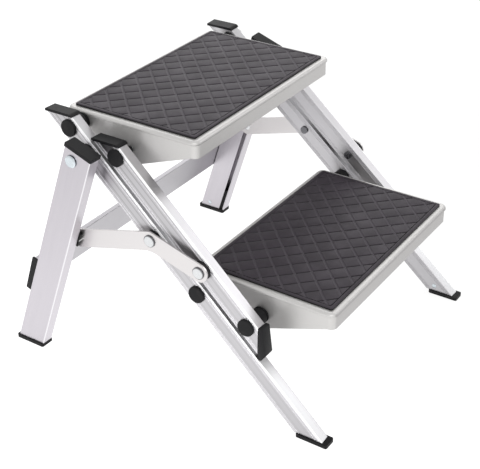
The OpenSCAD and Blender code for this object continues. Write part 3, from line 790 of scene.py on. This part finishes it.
@dataclass
class SideFrames:
    """The rails, link bars and rear legs of both sides, with their caps and feet."""

    dressing: Dressing
    leg_gap: float = 36.5 * MM  # from the rails' outer faces to the legs' outer faces
    # Painted highlight along the legs' front edges: its share of the bright tone and its width.
    leg_painted_highlight_share: float = 0.5
    leg_painted_highlight_width: float = 2.2 * MM
    leg_colour: Colour = (0.57, 0.545, 0.58)
    leg_shade: Colour = (0.47, 0.45, 0.48)
    # Painted shade on the rails' front faces and a painted highlight on the link bars' rear faces, in the gap
    # between them.
    rail_front_painted_shade: Colour = (0.52, 0.52, 0.53)
    bar_rear_painted_highlight: Colour = (0.96, 0.96, 0.97)

    def profile(self, node: str, slope: Side) -> tuple[float, float]:
        """Returns where the middle of a profile lies across its slope, and half its width."""
        places = [vertex.co.dot(slope.across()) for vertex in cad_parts[node].data.vertices]
        return (min(places) + max(places)) / 2, (max(places) - min(places)) / 2

    def build(self) -> None:
        """Dresses the profiles and their black fittings."""
        # Each profile's narrow face in that gap takes its painted tone: painted shade on the rail, a painted
        # highlight on the bar.
        for name, side, colour in (("rail", 1.0, self.rail_front_painted_shade), ("link_bar", -1.0, self.bar_rear_painted_highlight)):
            place = self.profile(f"{name}_right", Side.RAIL)
            self.dressing.dress(
                ExtrudedMetal(f"{name}_metal", Side.RAIL, *place, slot_side=side, slot_painted_tone=colour),
                f"{name}_left", f"{name}_right")
        place = self.profile("leg_right", Side.LEG)
        self.dressing.dress(
            ExtrudedMetal(
                "leg_metal", Side.LEG, *place, face_gap=self.leg_gap, grooved=False, colour=self.leg_colour,
                shade=self.leg_shade, slot_painted_tone=self.leg_colour, painted_highlight_share=self.leg_painted_highlight_share,
                painted_highlight_width=self.leg_painted_highlight_width),
            "leg_left", "leg_right")
        self.dressing.dress(
            MouldedPlastic("cap_black"), "rail_caps", "link_bar_caps", "leg_caps", "crossmember_caps")
        self.dressing.dress(MouldedPlastic("foot_black", roughness=0.5, grain=900.0), "rail_feet", "leg_feet")


@dataclass(frozen=True)
class EndPlane:
    """One end of a spacer: upright at a distance from the middle, or leaning with the side frame."""

    distance: float
    leans: bool

    def at(self, height: float) -> float:
        """Returns the end's distance from the middle plane at a height."""
        return self.distance + ((TOP_Z - height) * LEAN if self.leans else 0.0)


@dataclass(frozen=True)
class Spacer:
    """Black spacers round a pivot, one on each side, between two of the flat parts.

    Attributes:
        node: Their CAD node.
        body: Their body.
        half_long: Half their length.
        half_wide: Half their width.
        corner: Radius of their corners.
        near: The end that is nearer to the middle plane.
        far: The other end.
        slope: The slope that they lie along.
        bore: Radius of the hole.
        chamfer: Size of the bevel round both ends.
        steps: Steps in each corner.
    """

    node: str
    body: str
    half_long: float
    half_wide: float
    corner: float
    near: EndPlane
    far: EndPlane
    slope: Side = Side.LEG
    bore: float = BORE_RADIUS
    chamfer: float = 0.6 * MM
    steps: int = 12

    def outline(self, inset: float) -> list[tuple[float, float]]:
        """Works out the rounded outline in the side view, about the pivot.

        Args:
            inset: How far the outline is drawn in.

        Returns:
            The outline's points, as (y, z).
        """
        along, across = self.slope.along(), self.slope.across()
        points = []
        for quarter, (su, sv) in enumerate(((1, 1), (-1, 1), (-1, -1), (1, -1))):
            for step in range(self.steps + 1):
                turn = math.pi / 2 * (quarter + step / self.steps)
                u = su * (self.half_long - self.corner) + (self.corner - inset) * math.cos(turn)
                v = sv * (self.half_wide - self.corner) + (self.corner - inset) * math.sin(turn)
                points.append((along.y * u + across.y * v, along.z * u + across.z * v))
        return points

    def rim(self, radius: float) -> list[Vector]:
        """Returns the bore's circle, point for point beside the outline."""
        return [Vector(p).normalized() * radius for p in self.outline(0.0)]

    def build(self, finish: MouldedPlastic) -> bpy.types.Object:
        """Builds both spacers in place of their CAD solids.

        Args:
            finish: Their plastic.

        Returns:
            The new piece.
        """
        low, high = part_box(self.node)
        y, z = (low.y + high.y) / 2, (low.z + high.z) / 2
        section = (
            (self.rim(self.bore), self.near, 0.0), (self.outline(self.chamfer), self.near, 0.0),
            (self.outline(0.0), self.near, self.chamfer), (self.outline(0.0), self.far, -self.chamfer),
            (self.outline(self.chamfer), self.far, 0.0), (self.rim(self.bore), self.far, 0.0),
        )
        mesh = bmesh.new()
        for side in (-1, 1):
            rings = [[mesh.verts.new((side * (end.at(z + dz) + step), y + dy, z + dz)) for dy, dz in points]
                     for points, end, step in section]
            join_rings(mesh, rings, closed=True)
        return place_fitting(mesh, self.node, self.body, finish)


@dataclass(frozen=True)
class Bush:
    """One turned bush, between a tread's skirt and the bar beside it.

    Attributes:
        y: Its pivot's place behind the middle.
        z: Its pivot's height.
        radius: Its radius.
        ring_depth: Depth of the groove that is turned round it.
        ring: The groove's four corners, from the shoulder.
        neck_share: Radius of the neck at the skirt, as a share of the bush's.
        neck_chamfer: Bevel of the neck.
        chamfer: Bevel of the bush.
        skirt_plane: Distance of the skirt's end from the middle plane.
        shoulder_plane: Distance of the shoulder between the neck and the bush.
    """

    y: float
    z: float
    radius: float
    ring_depth: float = 1.3 * MM
    ring: tuple[float, ...] = (3.0 * MM, 3.3 * MM, 5.0 * MM, 5.3 * MM)
    neck_share: float = 0.75
    neck_chamfer: float = 0.4 * MM
    chamfer: float = 0.6 * MM
    skirt_plane: float = 181.3 * MM
    shoulder_plane: float = 183.3 * MM

    def section(self) -> list[tuple[EndPlane, float, float]]:
        """Works out the bush's section, from the skirt's end to the bar's end and back along the bore.

        Returns:
            The plane, the step from it and the radius of each point.
        """
        skirt, shoulder = EndPlane(self.skirt_plane, False), EndPlane(self.shoulder_plane, False)
        bar = EndPlane(HALF_WIDTH - BAR_THICKNESS - SEAT_GAP, True)
        full, neck, low = self.radius, self.radius * self.neck_share, self.radius - self.ring_depth
        start, bottom, rise, end = self.ring
        return [
            (skirt, 0.0, BORE_RADIUS), (skirt, 0.0, neck - self.neck_chamfer), (skirt, self.neck_chamfer, neck),
            (shoulder, 0.0, neck), (shoulder, 0.0, full - self.chamfer), (shoulder, self.chamfer, full),
            (shoulder, start, full), (shoulder, bottom, low), (shoulder, rise, low), (shoulder, end, full),
            (bar, -self.chamfer, full), (bar, 0.0, full - self.chamfer), (bar, 0.0, BORE_RADIUS),
        ]


@dataclass(frozen=True)
class BushSet:
    """The black bushes of one body, between the skirts of the treads and the side frames."""

    node: str
    body: str
    places: tuple[Bush, ...]
    steps: int = 40

    def build(self, finish: MouldedPlastic) -> bpy.types.Object:
        """Builds the set in place of its CAD solids.

        Args:
            finish: Their plastic.

        Returns:
            The new piece.
        """
        mesh = bmesh.new()
        turns = [2 * math.pi * k / self.steps for k in range(self.steps)]
        for bush in self.places:
            for side in (-1, 1):
                rings = []
                for plane, step, radius in bush.section():
                    ring = [(bush.y + radius * math.cos(a), bush.z + radius * math.sin(a)) for a in turns]
                    rings.append([mesh.verts.new((side * (plane.at(z) + step), y, z)) for y, z in ring])
                join_rings(mesh, rings, closed=True)
        return place_fitting(mesh, self.node, self.body, finish)


@dataclass(frozen=True)
class EndCap:
    """The thick black cap on the lower end of each link bar, whose foot is cut back.

    Attributes:
        node: Their CAD node.
        body: Their body.
        corners: Their corners in the side view, as (y, z) in millimetres.
        overhang: How far they stand out past the bars.
        thickness: Their size across the step.
        rounding: Size of their rounded edges.
    """

    node: str = "link_bar_end_caps"
    body: str = "link_bars"
    corners: tuple[tuple[float, float], ...] = (
        (-160.5, 159.5), (-167.5, 160.0), (-173.5, 117.0), (-165.0, 105.5), (-160.5, 109.5))
    overhang: float = 0.5 * MM
    thickness: float = 19.0 * MM
    rounding: float = 1.3 * MM

    def build(self, finish: MouldedPlastic) -> bpy.types.Object:
        """Builds both caps in place of their CAD solids.

        Args:
            finish: Their plastic.

        Returns:
            The new piece.
        """
        mesh = bmesh.new()
        outside = EndPlane(HALF_WIDTH + self.overhang, True)
        for side in (-1, 1):
            rings = [
                [mesh.verts.new((side * (outside.at(z * MM) - step), y * MM, z * MM)) for y, z in self.corners]
                for step in (0.0, self.thickness)]
            join_rings(mesh, rings, closed=False)
            for ring in rings:
                mesh.faces.new(ring)
        bmesh.ops.bevel(
            mesh, geom=mesh.edges[:], offset=self.rounding, segments=2, profile=0.5, affect="EDGES")
        return place_fitting(mesh, self.node, self.body, finish)


def place_fitting(
        mesh: bmesh.types.BMesh, node: str, body: str, finish: MouldedPlastic) -> bpy.types.Object:
    """Makes a black fitting from its mesh, with joined points and outward faces, in place of a CAD node.

    Args:
        mesh: The fitting's mesh, which is freed.
        node: The node that it stands for.
        body: The body that it rides on.
        finish: The plastic that it is moulded in.

    Returns:
        The new piece.
    """
    bmesh.ops.remove_doubles(mesh, verts=mesh.verts[:], dist=SAME_POINT)
    bmesh.ops.recalc_face_normals(mesh, faces=mesh.faces[:])
    return place_piece(mesh, f"{node}_turned", finish, node, body, 30.0)


@dataclass
class Linkage:
    """The stays, the crossmember, and what bolts them and the treads to the side frames."""

    dressing: Dressing
    spacers: tuple[Spacer, ...] = (
        Spacer("stay_pivot_discs", "rails", 12.5 * MM, 12.5 * MM, 12.4 * MM,
               EndPlane(HALF_WIDTH + SEAT_GAP, True), EndPlane(STAY_INSIDE, False)),
        Spacer("stay_link_discs", "link_bars", 14.5 * MM, 14.5 * MM, 14.4 * MM,
               EndPlane(HALF_WIDTH + SEAT_GAP, True), EndPlane(STAY_INSIDE, False)),
        Spacer("stay_guide_discs", "stays", 12.0 * MM, 3.6 * MM, 1.2 * MM,
               EndPlane(STAY_OUTSIDE, False), EndPlane(HALF_WIDTH + 15.6 * MM, True), bore=1.8 * MM),
    )
    bushes: tuple[BushSet, ...] = (
        BushSet("tread_pivot_bushes", "rails", (
            Bush(*UPPER_REAR, BUSH_RADIUS), Bush(*LOWER_REAR, BUSH_RADIUS))),
        BushSet("link_bushes", "link_bars", (
            Bush(*UPPER_FRONT, 6.2 * MM), Bush(*LOWER_FRONT, BUSH_RADIUS))),
    )
    stay_tones: tuple[Colour, Colour] = ((0.68, 0.66, 0.66), (0.58, 0.56, 0.56))
    crossmember_tones: tuple[Colour, Colour] = ((0.46, 0.45, 0.47), (0.38, 0.37, 0.39))
    bright_tones: tuple[Colour, Colour] = ((0.66, 0.67, 0.68), (0.54, 0.55, 0.56))
    end_cap_tone: Colour = (0.014, 0.014, 0.015)
    bush_roughness: float = 0.36

    def build(self) -> None:
        """Dresses the linkage and every fastener."""
        self.dressing.dress(SatinSheet("stay_metal", *self.stay_tones), "stay_left", "stay_right")
        self.dressing.dress(SatinSheet("crossmember_metal", *self.crossmember_tones), "crossmember")
        self.dressing.dress(
            PlatedMetal("plated_steel"), "tread_pivot_bolts", "tread_pivot_nuts", "leg_pivot_bolts",
            "link_bolts", "link_nuts", "crossmember_bolts", "rail_foot_rivets", "leg_foot_rivets")
        # The stay bolts take painted shade on everything behind their outer faces.
        self.dressing.dress(
            PlatedMetal("bolt_bright", *self.bright_tones, face_x=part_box("stay_link_bolts")[1].x),
            "stay_pivot_bolts", "stay_link_bolts")
        self.dressing.dress(PlatedMetal("rivet_bright", *self.bright_tones), "stay_guide_rivets")
        black = MouldedPlastic("spacer_black", roughness=self.bush_roughness)
        for spacer in self.spacers:
            spacer.build(black)
        self.dressing.dress(MouldedPlastic("knob_black"), "tread_pivot_knobs", "link_knobs")
        self.dressing.dress(MouldedPlastic("bush_black", roughness=self.bush_roughness), "leg_pivot_bushes")
        for bushes in self.bushes:
            bushes.build(black)
        EndCap().build(MouldedPlastic("end_cap_black", self.end_cap_tone))


@dataclass
class Treads:
    """The two folded trays and their rubber mats."""

    dressing: Dressing
    tones: tuple[Colour, Colour] = ((0.62, 0.61, 0.60), (0.52, 0.51, 0.50))
    roughness: float = 0.36
    metallic: float = 0.7
    # How much painted shade each tray's front flange takes.
    upper_painted_shade_share: float = 0.45
    lower_painted_shade_share: float = 0.85

    def build(self) -> None:
        """Dresses the trays, whose front flanges take painted shade, and builds both mats."""
        painted_shade_shares = {"upper_tread": self.upper_painted_shade_share, "lower_tread": self.lower_painted_shade_share}
        for node, share in painted_shade_shares.items():
            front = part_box(node)[0].y
            sheet = SatinSheet(f"{node}_metal", *self.tones, self.roughness, self.metallic, front, share)
            self.dressing.dress(sheet, node)
        for mat in (RubberMat("upper_mat", "upper_step"), RubberMat("lower_mat", "lower_step")):
            mat.build()


@dataclass(frozen=True)
class Softbox:
    """One square studio light."""

    name: str
    place: tuple[float, float, float]
    size: float
    radiance: float

    def build(self, target: Vector) -> None:
        """Hangs the light so that it faces the target.

        Args:
            target: The point that it faces.
        """
        data = bpy.data.lights.new(self.name, "AREA")
        data.shape = "SQUARE"
        data.size = self.size
        data.energy = self.radiance * math.pi * self.size ** 2
        lamp = bpy.data.objects.new(self.name, data)
        lamp.location = self.place
        lamp.rotation_euler = (target - lamp.location).to_track_quat("-Z", "Y").to_euler()
        bpy.context.collection.objects.link(lamp)


@dataclass
class Studio:
    """The lit paper floor, the sky of the studio and its softboxes.

    Attributes:
        floor_size: The floor's width and depth.
        floor_colour: What the floor sends back of the lights.
        lit_far: The floor's own light far to the left.
        lit_left: Its light left of the step.
        lit_right: Its light right of the step.
        rightward: The direction along the floor in which its light changes.
        left_band: Places along it where the far light gives way to the left one.
        right_band: Places along it where that gives way to the right one.
        horizon: The sky's strength at the horizon.
        zenith: Its strength overhead.
        zenith_from: How steeply a direction rises where the sky has that strength.
        boxes: The softboxes.
    """

    floor_size: float = 30.0
    floor_colour: Colour = (0.20, 0.20, 0.20)
    lit_far: Colour = (0.92, 0.92, 0.92)
    lit_left: Colour = (1.17, 1.17, 1.17)
    lit_right: Colour = (0.77, 0.77, 0.77)
    rightward: tuple[float, float, float] = (0.8, -0.6, 0.0)
    left_band: tuple[float, float] = (-1.25, -0.45)
    right_band: tuple[float, float] = (-0.5, 0.65)
    horizon: float = 0.88
    zenith: float = 0.90
    zenith_from: float = 0.7
    boxes: tuple[Softbox, ...] = (
        Softbox("front_softbox", (1.38, -1.48, 1.45), 1.30, 1.65),
        Softbox("rear_softbox", (1.65, 1.10, 1.40), 1.7, 1.10),
        Softbox("key_softbox", (-1.95, -1.25, 1.60), 1.3, 2.2),
    )

    def build_floor(self) -> None:
        """Lays the floor."""
        mesh = bpy.data.meshes.new("studio_floor")
        half = self.floor_size / 2
        corners = [(-half, -half, 0), (half, -half, 0), (half, half, 0), (-half, half, 0)]
        mesh.from_pydata(corners, [], [(0, 1, 2, 3)])
        floor = bpy.data.objects.new("studio_floor", mesh)
        bpy.context.collection.objects.link(floor)
        graph = Graph("floor_paper")
        place = graph.dot(graph.place(), Vector(self.rightward))
        left = graph.blend(graph.mask(place, *self.left_band), self.lit_far, self.lit_left)
        graph.surface(
            Base_Color=self.floor_colour, Roughness=0.9, Specular_IOR_Level=0.0, Emission_Strength=1.0,
            Emission_Color=graph.blend(graph.mask(place, *self.right_band), left, self.lit_right))
        mesh.materials.append(graph.material)

    def build_sky(self) -> None:
        """Lights the studio from all round, a little brighter from above."""
        graph = SkyGraph("studio_sky")
        direction = graph.node("ShaderNodeTexCoord", {}, {}, "Generated")
        rise = graph.node("ShaderNodeSeparateXYZ", {}, {0: direction}, "Z")
        strength = graph.node("ShaderNodeMapRange", {}, {
            "Value": rise, "From Max": self.zenith_from, "To Min": self.horizon, "To Max": self.zenith})
        graph.surface(Color=(1.0, 1.0, 1.0), Strength=strength)

    def build(self) -> None:
        """Builds the floor, the sky and the lights."""
        self.build_floor()
        self.build_sky()
        middle = (CAD_BOX[0] + CAD_BOX[1]) / 2
        for box in self.boxes:
            box.build(middle)
        bpy.context.scene.view_settings.view_transform = "Standard"


@dataclass(frozen=True)
class PhotoCamera:
    """The photograph's viewpoint: it stands in front, to the left of and above the step.

    Attributes:
        place: Where the camera stands.
        azimuth: The way that it faces, round the upright.
        elevation: How steeply it looks down.
        roll: How far it is turned about its own axis.
        focal_pixels: Its focal length in pixels of the photograph.
        image_width: The photograph's width in pixels.
        sensor: The sensor's width in millimetres.
    """

    place: tuple[float, float, float] = (-1.2819, -0.8513, 1.0750)
    azimuth: float = math.radians(-55.83)
    elevation: float = math.radians(31.06)
    roll: float = math.radians(-0.92)
    focal_pixels: float = 1116.2
    image_width: float = 480.0
    sensor: float = 36.0

    def build(self) -> None:
        """Sets up the camera."""
        back = Vector((
            math.sin(self.azimuth) * math.cos(self.elevation),
            -math.cos(self.azimuth) * math.cos(self.elevation),
            math.sin(self.elevation)))
        right = Vector((math.cos(self.azimuth), math.sin(self.azimuth), 0.0))
        up = back.cross(right)
        turned_right = right * math.cos(self.roll) + up * math.sin(self.roll)
        turned_up = up * math.cos(self.roll) - right * math.sin(self.roll)
        data = bpy.data.cameras.new("photo_camera")
        data.sensor_width = self.sensor
        data.lens = self.focal_pixels / self.image_width * self.sensor
        camera = bpy.data.objects.new("photo_camera", data)
        turn = Matrix((turned_right, turned_up, back)).transposed().to_4x4()
        camera.matrix_world = Matrix.Translation(self.place) @ turn
        bpy.context.collection.objects.link(camera)
        bpy.context.scene.camera = camera


def main() -> None:
    """Builds the camera, the studio and every sub-assembly in turn."""
    logging.basicConfig(level=logging.INFO)
    PhotoCamera().build()
    Studio().build()
    dressing = Dressing()
    SideFrames(dressing).build()
    Linkage(dressing).build()
    Treads(dressing).build()


if __name__ == "__main__":
    main()
